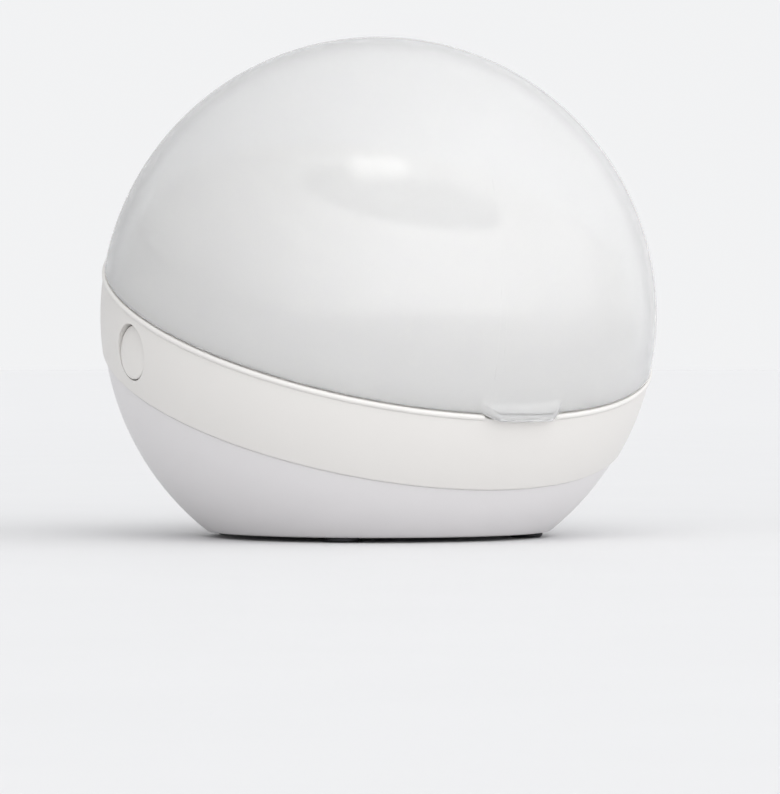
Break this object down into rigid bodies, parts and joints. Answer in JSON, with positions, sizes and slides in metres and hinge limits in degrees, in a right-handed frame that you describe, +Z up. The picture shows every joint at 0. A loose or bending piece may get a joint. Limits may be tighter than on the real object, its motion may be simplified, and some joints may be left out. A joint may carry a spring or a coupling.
{
  "type": "pacifier sterilizer case",
  "caption": "Ball-shaped portable ultraviolet steriliser for a soother: tilted frosted lid on a rear hinge, white two-shell base with a flat foot, side button and lamp chamber.",
  "frame": {"origin": "on the standing surface, under the centre of the ball", "axes": "+Z up, -Y to the front where the lid's tab is, +Y to the hinge, +X to the right, the power button on -X"},
  "size_m": [0.0906, 0.0899, 0.0808],
  "materials": {
    "lower_shell": "satin, cool white",
    "band": "satin, warm white",
    "tray": "satin white",
    "guard": "satin white",
    "cup": "polished",
    "lamp_glass": "clear quartz",
    "ceramic": "unglazed",
    "lead_sleeve": "smooth",
    "board": "solder mask",
    "chip_black": "moulded epoxy",
    "transformer": "yellow tape over ferrite",
    "switch_black": "moulded",
    "led_lens": "clear lens",
    "buzzer_black": "moulded",
    "reed_glass": "clear",
    "plated_steel": "nickel plated",
    "bay_white": "moulded",
    "cell_jacket": "printed jacket, left plain",
    "rubber_black": "matt",
    "lid_frosted": "frosted, see-through",
    "magnet": "nickel plated",
    "button_white": "satin, warm white"
  },
  "bodies": {
    "base": {"lower_shell": "lower_shell", "band_ring": "band", "chamber_tray": "tray", "lamp_guard": "guard", "reflector_cup": "cup", "uv_lamp": "lamp_glass", "lamp_socket": "ceramic", "inner_leads": "lead_sleeve", "control_board": "board", "board_chips": "chip_black", "lamp_transformer": "transformer", "tact_switch": "switch_black", "indicator_led": "led_lens", "buzzer": "buzzer_black", "reed_switch": "reed_glass", "usb_socket": "plated_steel", "battery_bay": "bay_white", "battery_cells": "cell_jacket", "contact_plates": "plated_steel", "contact_springs": "plated_steel", "case_screws": "plated_steel", "foot_pads": "rubber_black", "hinge_pin": "plated_steel"},
    "lid": {"lid_shell": "lid_frosted", "lid_magnet": "magnet"},
    "power_button": {"power_button": "button_white", "switch_plunger": "switch_black"},
    "battery_door": {"battery_door": "lower_shell", "door_screws": "plated_steel"}
  },
  "joints": [
    {"name": "lid_hinge", "type": "hinge", "parent": "base", "child": "lid", "pos_m": [0, 0.04226, 0.05184], "axis": [-1, 0, 0], "range_deg": [0, 100]},
    {"name": "power_button_press", "type": "slide", "parent": "base", "child": "power_button", "axis": [1, 0, 0], "range_m": [0, 0.0008], "stiffness_N_per_m": 800},
    {"name": "battery_door_out", "type": "slide", "parent": "base", "child": "battery_door", "axis": [0, 0, -1], "range_m": [0, 0.012]}
  ]
}
